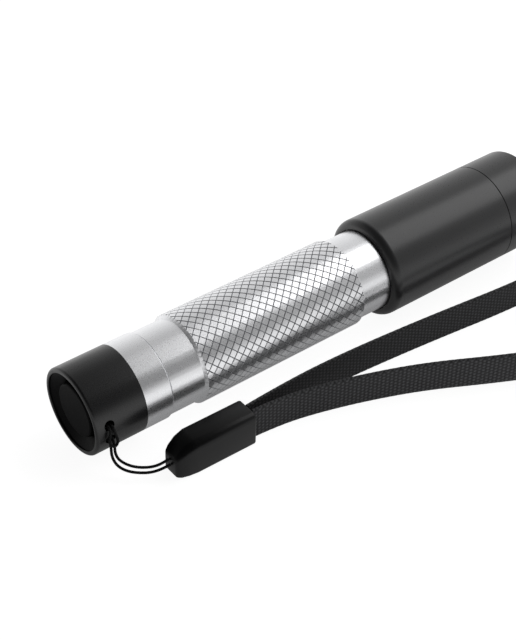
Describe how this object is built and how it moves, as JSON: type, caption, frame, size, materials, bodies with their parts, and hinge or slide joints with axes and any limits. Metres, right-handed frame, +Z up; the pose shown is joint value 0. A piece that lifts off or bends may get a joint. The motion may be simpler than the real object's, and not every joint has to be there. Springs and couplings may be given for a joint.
{
  "type": "hand torch",
  "caption": "Aluminium hand torch with a sliding focus head, knurled barrel, recessed tail switch and a wrist lanyard on a thin cord.",
  "frame": {"origin": "on the surface that the torch lies on, under the middle of its length", "axes": "+X towards the lens, +Z up. The torch rests on its tail edge and on the rear lip of its head, so its own axis rises 1.34 degrees from +X"},
  "size_m": [0.1843, 0.0797, 0.0322],
  "materials": {
    "black_anodised": "satin black anodised",
    "silver_anodised": "polished clear anodised",
    "plain_aluminium": "turned, uncoated",
    "black_rubber": "moulded, satin",
    "black_plastic": "moulded, matt",
    "white_plastic": "moulded, matt",
    "circuit_board": "solder mask",
    "spring_steel": "gold flashed wire",
    "brass": "turned",
    "cell_sleeve": "shrink sleeve over a steel can",
    "cell_metal": "nickel plated",
    "phosphor": "phosphor coat",
    "clear_lens": "polished clear acrylic",
    "woven_band": "black nylon webbing",
    "woven_cord": "black braided nylon"
  },
  "bodies": {
    "tail": {"tail_cap_shell": "black_anodised", "tail_collar_ring": "silver_anodised", "switch_housing": "black_plastic", "switch_board": "circuit_board", "switch_retainer_ring": "plain_aluminium", "tail_contact_spring": "spring_steel", "lanyard_cord": "woven_cord", "lanyard_connector": "black_rubber", "lanyard_strap": "woven_band"},
    "button": {"switch_button": "black_rubber", "button_plunger": "white_plastic"},
    "thread_seal": {"thread_o_ring": "black_rubber"},
    "barrel": {"barrel_tube": "silver_anodised", "battery_can": "cell_sleeve", "battery_insulator": "white_plastic", "battery_positive_cap": "cell_metal", "driver_contact_spring": "spring_steel", "driver_board": "circuit_board", "led_pill": "brass", "led_board": "white_plastic", "led_emitter": "phosphor", "led_dome": "clear_lens", "front_stop_ring": "plain_aluminium"},
    "focus": {"head_guide_bush": "white_plastic", "focus_o_ring": "black_rubber"},
    "head": {"bush_retainer_ring": "plain_aluminium", "head_sleeve": "black_anodised", "bezel_ring": "black_anodised", "lens_retainer_ring": "plain_aluminium", "focus_lens": "clear_lens", "lens_seal": "black_rubber"}
  },
  "joints": [
    {"name": "button_press", "type": "slide", "parent": "tail", "child": "button", "axis": [0.9997, 0, 0.0233], "range_m": [0, 0.0015], "stiffness_N_per_m": 2000, "springref_m": -0.0005},
    {"name": "thread_advance", "type": "slide", "parent": "tail", "child": "thread_seal", "axis": [0.9997, 0, 0.0233], "range_m": [0, 0.005]},
    {"name": "barrel_unscrew", "type": "hinge", "parent": "thread_seal", "child": "barrel", "pos_m": [-0.0577, 0, 0.01355], "axis": [0.9997, 0, 0.0233], "range_deg": [0, 1800]},
    {"name": "focus_slide", "type": "slide", "parent": "barrel", "child": "focus", "axis": [0.9997, 0, 0.0233], "range_m": [-0.009, 0]},
    {"name": "head_turn", "type": "hinge", "parent": "focus", "child": "head", "pos_m": [0.02551, 0, 0.01549], "axis": [0.9997, 0, 0.0233], "continuous": true}
  ],
  "couplings": [
    {"joint": "thread_advance", "follows": "barrel_unscrew", "m_per_rad": 0.00015915}
  ]
}
